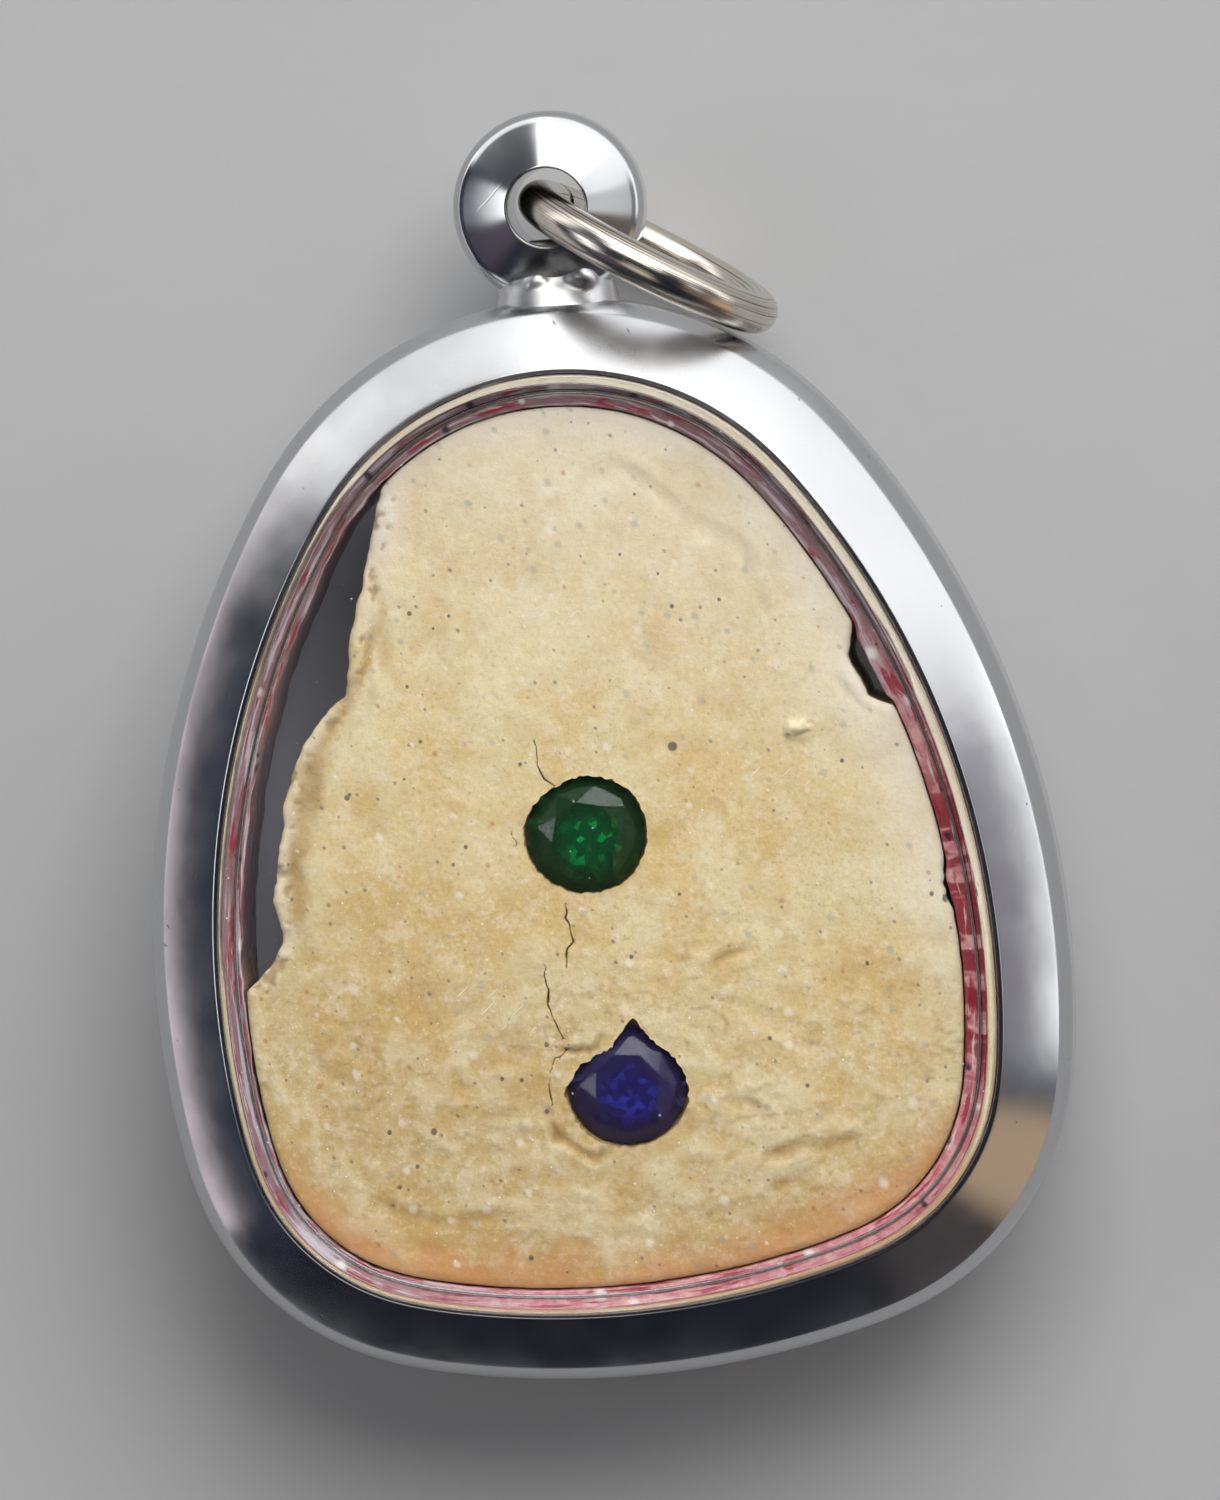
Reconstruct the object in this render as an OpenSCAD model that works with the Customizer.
// Pressed clay amulet with two cut stones, sealed in a steel pendant case with clear windows.
// Millimetres. It lies on its front window: +Z is up out of the back window, +Y points to the bail.

/* [Case] */
// Widest width of the steel case
case_w = 33; // [30:0.5:37]
// Height of the steel case without the bail
case_h = 38.9; // [36:0.1:44]
// Thickness over both windows
case_t = 11; // [10.4:0.1:13]
// Radius of the crown arc at the top of the outline
crown_r = 12.8; // [11:0.1:14.5]
// Radius of the long side arcs
side_r = 32.7; // [28:0.1:40]
// Radius of the lower corner arcs
corner_r = 9.9; // [8:0.1:11.5]
// Radius of the shallow base arc
base_r = 33.6; // [28:0.1:44]
// Width of the steel band from the outer wall to the bore
band_w = 2.6; // [2.2:0.05:3.2]
// Flat land on top of the lip beside the bore
lip_w = 0.16; // [0.08:0.02:0.3]
// Distance of the ridge in from the outer wall
ridge_in = 0.46; // [0.3:0.02:0.7]
// Drop from the lip to the ridge
bevel_drop = 1.6; // [1.3:0.05:2.3]
// Drop from the ridge to the upright outer wall
shoulder_drop = 0.95; // [0.7:0.05:1.1]
// How far the bevel swells past a straight slope
bevel_swell = 0.03; // [0:0.01:0.14]

/* [Windows] */
// Rise of each window above the steel lip
window_rise = 1.4; // [0.9:0.05:1.6]
// Depth of each window that sits inside the bore
window_seat = 1.1; // [0.8:0.05:1.4]
// Width of the rounded window edge, seen from above
window_round = 0.35; // [0.25:0.05:1]
// Thickness of each window over the tablet
window_skin = 1.6; // [1.2:0.05:2]
// Width of the wall round each window
window_wall = 0.55; // [0.5:0.05:1]
// Radius inside each window where its wall meets its skin
window_fillet = 0.2; // [0.1:0.05:0.6]

/* [Seal ring] */
// Width of the red seal ring between the windows
seal_w = 0.6; // [0.5:0.05:1]

/* [Bail] */
// Height of the bail hole above the crown of the case
bail_rise = 3.31; // [3:0.01:4]
// Diameter of the bail
bail_d = 6.9; // [6.5:0.05:7.4]
// Thickness of the bail at its hole
bail_t = 4.6; // [4:0.05:4.8]
// Height of the upright rim of the bail
bail_rim_h = 2.5; // [1.6:0.05:3]
// Diameter of the bail hole
bail_hole_d = 2.8; // [2.7:0.02:3.2]
// Width of the weld foot below the bail
foot_w = 4.1; // [3.4:0.05:5]
// Thickness of the weld foot
foot_t = 3.8; // [3:0.05:4.4]
// Radius of the fillets beside the foot
foot_fillet = 0.6; // [0.3:0.05:0.9]
// How far the foot laps up over the bail
foot_lap = 1.4; // [1:0.05:1.6]
// Width of the small chamfers on the bail
bail_edge = 0.14; // [0.1:0.02:0.3]

/* [Jump ring] */
// Diameter of the ring, measured to the middle of the wire
ring_d = 8.8; // [8.6:0.05:9]
// Diameter of the wire
wire_d = 1.5; // [1.3:0.02:1.6]
// How far the wire sits past the axis of the bail hole
wire_slip = 0.45; // [0.35:0.01:0.5]
// How far the middle of the ring sits below the middle of the bail
ring_drop = 0.15; // [0:0.01:0.2]
// Sideways lean of the ring towards the case
ring_lean = 3; // [0:0.1:3.4]

/* [Tablet] */
// Thickness of the clay tablet without its relief
tablet_t = 6.4; // [5:0.1:6.8]
// Height of the raised figure on the front of the tablet
relief_h = 0.7; // [0.3:0.05:0.8]
// Width of the rounded edge of the tablet
tablet_round = 0.5; // [0.2:0.05:0.8]
// How far the tablet lies to the left of the middle of the case
tablet_left = 0.2; // [0:0.05:0.25]
// How far the tablet lies towards the base of the case
tablet_low = 0.15; // [0:0.05:0.25]
// Height of the seated figure with its base
figure_h = 21; // [16:0.5:23]
// Plain clay below the base of the figure
figure_margin = 2; // [1:0.1:3]

/* [Stones] */
// Diameter of each round cut stone
stone_d = 4.3; // [3.6:0.05:5]
// Width of the table as a share of the stone
table_share = 0.56; // [0.5:0.01:0.65]
// Height of the crown as a share of the stone
crown_share = 0.15; // [0.1:0.01:0.18]
// Depth of the pavilion as a share of the stone
pavilion_share = 0.42; // [0.36:0.01:0.44]
// Height of the girdle
girdle_h = 0.16; // [0.08:0.02:0.24]
// Middle of the green stone, across
green_x = -0.4; // [-1.5:0.1:1.5]
// Middle of the green stone, towards the bail
green_y = 0.3; // [-1:0.1:2]
// Middle of the blue stone, across
blue_x = 0.35; // [-1.5:0.05:1.5]
// Middle of the blue stone, towards the bail
blue_y = -8.8; // [-10:0.1:-7]

/* [Fits] */
// Clearance around the windows in the bore
fit = 0.05; // [0.03:0.01:0.1]
// Clearance above and below what lies between the windows
rest_gap = 0.05; // [0.03:0.01:0.1]
// Clearance around each stone in its pocket
stone_gap = 0.06; // [0.03:0.01:0.12]
// Clearance between the ring's far side and the crown that it leans on
ring_gap = 0.14; // [0.1:0.01:0.3]
// Least clearance under the ring
floor_gap = 0.1; // [0.05:0.01:0.2]

/* [Hidden] */
$fn = 180;

mid_z = case_t/2;
lip_z = case_t - window_rise;
ridge_z = lip_z - bevel_drop;
wall_z = ridge_z - shoulder_drop;
window_t = window_rise + window_seat;
hollow_bottom = window_t;
hollow_top = case_t - window_t;
tablet_bottom = window_skin + rest_gap;
tablet_face = tablet_bottom + relief_h + tablet_t;
tablet_off = [-tablet_left, -tablet_low, 0];
tablet_in = band_w + fit + max(window_wall, fit + seal_w) + 2*fit + norm(tablet_off);
girdle_z = tablet_face - crown_share*stone_d - girdle_h/2;
figure_bottom = -case_h/2 + tablet_in + figure_margin;
bail_y = case_h/2 + bail_rise;

// The outline is six tangent arcs: base, two corners, two sides, crown.
waist_y = case_h/2 - crown_r - sqrt(pow(side_r - crown_r, 2) - pow(side_r - case_w/2, 2));
crown_c = [0, case_h/2 - crown_r];
side_c = [case_w/2 - side_r, waist_y];
base_c = [0, base_r - case_h/2];
corner_c = inner_tangent(side_c, side_r - corner_r, base_c, base_r - corner_r);

// Centre that lies d1 from c1 and d2 from c2, on the lower right side.
function inner_tangent(c1, d1, c2, d2) =
    let (gap = norm(c2 - c1),
         along = (d1*d1 - d2*d2 + gap*gap)/(2*gap),
         across = sqrt(d1*d1 - along*along),
         dir = (c2 - c1)/gap)
    c1 + along*dir + across*[dir.y, -dir.x];

function heading(from, to) = atan2(to.y - from.y, to.x - from.x);

crown_turn = heading(side_c, crown_c);
side_turn = heading(side_c, corner_c);
base_turn = heading(base_c, corner_c);

// Columns of ARCS, anticlockwise from the base: centre, radius, start angle, sweep angle, steps.
ARCS = [
    [base_c, base_r, -180 - base_turn, 180 + 2*base_turn, 10],
    [corner_c, corner_r, base_turn, side_turn - base_turn, 14],
    [side_c, side_r, side_turn, crown_turn - side_turn, 16],
    [crown_c, crown_r, crown_turn, 180 - 2*crown_turn, 22],
    [mirrored(side_c), side_r, 180 - crown_turn, crown_turn - side_turn, 16],
    [mirrored(corner_c), corner_r, 180 - side_turn, side_turn - base_turn, 14]];

function mirrored(p) = [-p.x, p.y];

// Columns of STATIONS: arc centre, arc radius, outward direction.
STATIONS = [
    for (arc = ARCS)
        for (i = [0:arc[4] - 1])
            let (a = arc[2] + arc[3]*i/arc[4])
            [arc[0], arc[1], [cos(a), sin(a)]]];

function outline_point(s, inset, z) =
    let (xy = s[0] + (s[1] - inset)*s[2])
    [xy.x, xy.y, z];

// One wall triangle pair between two neighbouring stations and two neighbouring profile points.
function wall(a, b, c, d) = [[a, b, c], [a, c, d]];

// Closed profile carried round the outline, as a band. Profile columns: distance in, height.
// The profile runs up its outer side and down its inner side.
module band(profile) {
    n = len(STATIONS);
    m = len(profile);
    points = [for (s = STATIONS) for (p = profile) outline_point(s, p[0], p[1])];
    faces = [
        for (i = [0:n - 1])
            for (j = [0:m - 1])
                let (k = (i + 1) % n, l = (j + 1) % m)
                each wall(i*m + j, i*m + l, k*m + l, k*m + j)];
    polyhedron(points, faces);
}

// Open profile carried round the outline from the bottom face to the top face, as a solid plate.
module plate(profile) {
    n = len(STATIONS);
    m = len(profile);
    points = [for (s = STATIONS) for (p = profile) outline_point(s, p[0], p[1])];
    faces = concat(
        [[for (i = [0:n - 1]) i*m]],
        [[for (i = [n - 1:-1:0]) i*m + m - 1]],
        [for (i = [0:n - 1])
            for (j = [0:m - 2])
                let (k = (i + 1) % n)
                each wall(i*m + j, i*m + j + 1, k*m + j + 1, k*m + j)]);
    polyhedron(points, faces);
}

// Quarter round from the side of a plate to its face. Columns: distance in, height.
function quarter_round(inset, from_z, to_z, width, steps = 8) =
    [for (i = [0:steps])
        let (a = 90*i/steps)
        [inset + width*(1 - cos(a)), from_z + (to_z - from_z)*sin(a)]];

// Upper half of the steel band from the lip to the outer wall. Columns: distance in, height.
BEVEL_STEPS = 6;
SHOULDER_STEPS = 4;
SHOULDER_CURVE = 1.4;
function bevel_points() =
    [for (i = [0:BEVEL_STEPS])
        let (t = i/BEVEL_STEPS,
             run = band_w - lip_w - ridge_in,
             slope = norm([run, bevel_drop]),
             bulge = 4*bevel_swell*t*(1 - t))
        [band_w - lip_w - run*t - bulge*bevel_drop/slope, lip_z - bevel_drop*t + bulge*run/slope]];
function shoulder_points() =
    [for (i = [1:SHOULDER_STEPS])
        let (t = i/SHOULDER_STEPS)
        [ridge_in*pow(1 - t, SHOULDER_CURVE), ridge_z - shoulder_drop*t]];
function band_half() = concat([[band_w, lip_z]], bevel_points(), shoulder_points());
function band_profile() =
    let (half = band_half(), last = len(half) - 1)
    concat([for (i = [last:-1:0]) half[i]],
           [for (i = [0:last]) [half[i][0], case_t - half[i][1]]]);

module bail() {
    hole_r = bail_hole_d/2;
    rim_r = bail_d/2;
    half = [[hole_r, bail_t/2 - bail_edge], [hole_r + bail_edge, bail_t/2],
            [rim_r - bail_edge, (bail_rim_h + bail_edge)/2], [rim_r, bail_rim_h/2 - bail_edge]];
    translate([0, bail_y, mid_z])
        rotate_extrude()
            polygon(concat(half, [for (i = [3:-1:0]) [half[i].x, -half[i].y]]));
}

// Weld between bail and crown, flared where it meets the crown.
module foot() {
    bottom = case_h/2 - band_w/2;
    top = bail_y - bail_d/2 + foot_lap;
    flare_y = case_h/2 - foot_w*foot_w/8/crown_r + foot_fillet;
    difference() {
        translate([-foot_w/2 - foot_fillet, bottom, mid_z - foot_t/2])
            cube([foot_w + 2*foot_fillet, top - bottom, foot_t]);
        for (side = [-1, 1])
            translate([side*(foot_w/2 + foot_fillet), flare_y, mid_z - foot_t]) {
                cylinder(r = foot_fillet, h = 2*foot_t);
                translate([-foot_fillet, 0, 0])
                    cube([2*foot_fillet, top, 2*foot_t]);
            }
    }
}

module case_frame() {
    color("silver") {
        band(band_profile());
        bail();
        foot();
    }
}

// Back window: a shallow cup with its rounded edge outside the lip and its wall in the bore.
module window() {
    outer = band_w + fit;
    inner = outer + window_wall;
    bottom = case_t - window_t;
    ceiling = case_t - window_skin;
    fillet = quarter_round(inner, ceiling - window_fillet, ceiling, window_fillet, 4);
    plate(concat([for (i = [len(fillet) - 1:-1:0]) fillet[i]],
                 [[inner, bottom], [outer, bottom]],
                 quarter_round(outer, lip_z, case_t, window_round)));
}

module back_window() {
    color("azure", 0.3) window();
}

module front_window() {
    color("azure", 0.3) translate([0, 0, case_t]) mirror([0, 0, 1]) window();
}

module seal_ring() {
    outer = band_w + 2*fit;
    color("crimson")
        band([[outer, hollow_bottom + rest_gap], [outer, hollow_top - rest_gap],
              [outer + seal_w, hollow_top - rest_gap], [outer + seal_w, hollow_bottom + rest_gap]]);
}

// Corners of the tablet where it narrows towards the head, from the waist up to the crown.
// Columns: across as a share of half the case width, up as a share of half the case height.
LEFT_EDGE = [[-0.80, -0.23], [-0.73, -0.18], [-0.705, -0.12], [-0.72, -0.06], [-0.705, 0.01],
             [-0.67, 0.14], [-0.62, 0.23], [-0.525, 0.31], [-0.50, 0.41], [-0.44, 0.59], [-0.40, 0.70]];
RIGHT_EDGE = [[0.80, -0.45], [0.755, -0.23], [0.74, -0.10], [0.73, 0.0], [0.703, 0.08], [0.673, 0.20],
              [0.618, 0.237], [0.582, 0.31], [0.594, 0.365], [0.59, 0.42], [0.55, 0.70]];

function edge_points(rows) = [for (row = rows) [row[0]*case_w/2, row[1]*case_h/2]];

module tablet_outline() {
    low = -case_h/2;
    high = case_h/2;
    left = edge_points(LEFT_EDGE);
    right = edge_points(RIGHT_EDGE);
    polygon(concat([[-case_w/2, low]], left, [[left[len(left) - 1].x, high]],
                   [[right[len(right) - 1].x, high]],
                   [for (i = [len(right) - 1:-1:0]) right[i]], [[case_w/2, low]]));
}

// Shallow dome standing below the front face, seen from the front.
module dome(x, y, r, h) {
    ball_r = (r*r + h*h)/(2*h);
    translate([x, y, ball_r - h])
        intersection() {
            sphere(r = ball_r);
            translate([0, 0, -ball_r])
                cylinder(r = 1.2*r, h = 2*h);
        }
}

// Steps of the base. Columns: half width, foot and height as shares of the figure's height,
// rise as a share of the relief.
BASE_STEPS = [[0.42, 0, 0.07, 0.55], [0.37, 0.085, 0.07, 0.7]];

// Domes of the figure. Columns: across, up and radius as shares of the figure's height,
// rise as a share of the relief. A dome that is off the middle is there on both sides.
FIGURE_DOMES = [
    [0.24, 0.24, 0.125, 0.8],   // knee
    [0.15, 0.42, 0.085, 0.75],  // elbow
    [0.11, 0.25, 0.12, 0.85],   // folded leg
    [0, 0.45, 0.15, 0.9],       // chest
    [0, 0.58, 0.12, 0.85],      // shoulders
    [0, 0.76, 0.095, 0.98],     // head
    [0, 0.875, 0.05, 0.8]];     // topknot

// Traditional seated figure in low relief on a two-step base.
module figure_relief() {
    translate([0, figure_bottom, tablet_bottom + relief_h]) {
        for (step = BASE_STEPS)
            translate([-step[0]*figure_h, step[1]*figure_h, -step[3]*relief_h])
                cube([2*step[0]*figure_h, step[2]*figure_h, relief_h]);
        for (row = FIGURE_DOMES)
            for (side = row[0] > 0 ? [-1, 1] : [1])
                dome(side*row[0]*figure_h, row[1]*figure_h, row[2]*figure_h, row[3]*relief_h);
    }
}

// Pocket of a stone, open at the tablet's face: a cone for the pavilion and a wall for the rest.
module stone_pocket(x, y) {
    pocket_r = stone_d/2 + stone_gap;
    pavilion_top = girdle_z - girdle_h/2 - stone_gap;
    translate([x, y, 0])
        rotate_extrude()
            polygon([[0, pavilion_top - pavilion_share*stone_d - stone_gap],
                     [stone_gap, pavilion_top - pavilion_share*stone_d - stone_gap],
                     [pocket_r, pavilion_top], [pocket_r, tablet_face + stone_gap],
                     [0, tablet_face + stone_gap]]);
}

module clay_tablet() {
    base_z = tablet_bottom + relief_h;
    edge = concat([[tablet_in, base_z]],
                  quarter_round(tablet_in, tablet_face - tablet_round, tablet_face, tablet_round, 3));
    color("wheat") {
        difference() {
            intersection() {
                translate(tablet_off) plate(edge);
                translate([0, 0, base_z - 1])
                    linear_extrude(tablet_t + 2) tablet_outline();
            }
            stone_pocket(green_x, green_y);
            stone_pocket(blue_x, blue_y);
        }
        figure_relief();
    }
}

// Reach of the star corners and of the lower girdle facets, as shares of the stone's radius.
STAR_SHARE = 0.8;
LOWER_SHARE = 0.3;

// Round brilliant with its table up and its girdle at height zero: 8 mains around the table.
module brilliant() {
    r = stone_d/2;
    table_r = table_share*r;
    table_z = girdle_h/2 + crown_share*stone_d;
    culet_z = -girdle_h/2 - pavilion_share*stone_d;
    star_r = STAR_SHARE*r;
    star_z = girdle_h/2 + (r - star_r*cos(22.5))*(table_z - girdle_h/2)/(r - table_r);
    lower_r = LOWER_SHARE*r;
    lower_z = -girdle_h/2 + (r - lower_r*cos(22.5))*(culet_z + girdle_h/2)/r;
    points = concat(
        facet_ring(8, table_r, table_z, 0),
        facet_ring(8, star_r, star_z, 22.5),
        facet_ring(16, r, girdle_h/2, 0),
        facet_ring(16, r, -girdle_h/2, 0),
        facet_ring(8, lower_r, lower_z, 22.5),
        [[0, 0, culet_z]]);
    faces = concat(
        [[for (i = [7:-1:0]) i]],
        [for (i = [0:7]) [i, (i + 1) % 8, 8 + i]],
        [for (i = [0:7]) [i, 8 + i, 16 + 2*i, 8 + (i + 7) % 8]],
        [for (i = [0:7]) [8 + i, 17 + 2*i, 16 + 2*i]],
        [for (i = [0:7]) [8 + i, 16 + (2*i + 2) % 16, 17 + 2*i]],
        [for (i = [0:15]) [16 + i, 16 + (i + 1) % 16, 32 + (i + 1) % 16, 32 + i]],
        [for (i = [0:7]) [48 + i, 32 + 2*i, 33 + 2*i]],
        [for (i = [0:7]) [48 + i, 33 + 2*i, 32 + (2*i + 2) % 16]],
        [for (i = [0:7]) [56, 48 + (i + 7) % 8, 32 + 2*i, 48 + i]]);
    polyhedron(points, faces);
}

function facet_ring(count, r, z, turn) =
    [for (i = [0:count - 1]) [r*cos(turn + 360*i/count), r*sin(turn + 360*i/count), z]];

module stone_at(x, y, turn) {
    translate([x, y, girdle_z])
        rotate([0, 0, turn]) brilliant();
}

module green_stone() {
    color("darkgreen") stone_at(green_x, green_y, 9);
}

module blue_stone() {
    color("mediumblue") stone_at(blue_x, blue_y, 17);
}

// Upright wire ring through the bail hole, fallen to the right until its far side nears the crown.
ring_reach = ring_d/2 - wire_slip;
ring_end = ring_reach + ring_d/2;
ring_z = max(mid_z - ring_drop, ring_d/2 + wire_d/2 + floor_gap);
hole_to_crown = bail_y - crown_c.y;
ring_clear = crown_r + wire_d/2 + ring_gap;
ring_droop = asin((pow(ring_end, 2) + pow(hole_to_crown, 2) - pow(ring_clear, 2))/(2*ring_end*hole_to_crown));

module jump_ring() {
    color("gainsboro")
        translate([0, bail_y, ring_z])
            rotate([0, 0, -ring_droop])
                translate([ring_reach, 0, 0])
                    rotate([90 + ring_lean, 0, 0])
                        rotate_extrude()
                            translate([ring_d/2, 0]) circle(d = wire_d, $fn = 48);
}

case_frame();
back_window();
front_window();
seal_ring();
clay_tablet();
green_stone();
blue_stone();
jump_ring();
